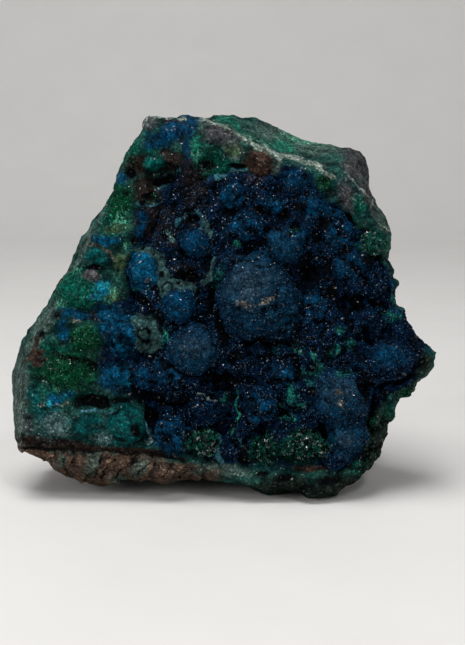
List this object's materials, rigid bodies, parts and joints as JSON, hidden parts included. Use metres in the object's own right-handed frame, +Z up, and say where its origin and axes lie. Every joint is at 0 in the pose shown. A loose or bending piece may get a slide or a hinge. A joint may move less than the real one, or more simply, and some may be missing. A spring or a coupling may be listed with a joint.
{
  "type": "cornetite specimen",
  "caption": "Broken block of green-stained copper ore that stands on its flat base, its front hollow lined with a crust of dark blue, ball-shaped cornetite under fine glittering crystals.",
  "frame": {"origin": "middle of the bounding box, at the surface the specimen rests on", "axes": "+X to the right of the crusted front along its width, +Y from the crusted front to the back, +Z up"},
  "size_m": [0.118, 0.0588, 0.1036],
  "materials": {
    "host_rock": "rough broken rock with a green malachite skin",
    "cornetite_crust": "dark blue, drusy and glittering"
  },
  "bodies": {
    "root": {"host_rock": "host_rock", "cornetite_crust": "cornetite_crust"}
  },
  "joints": []
}
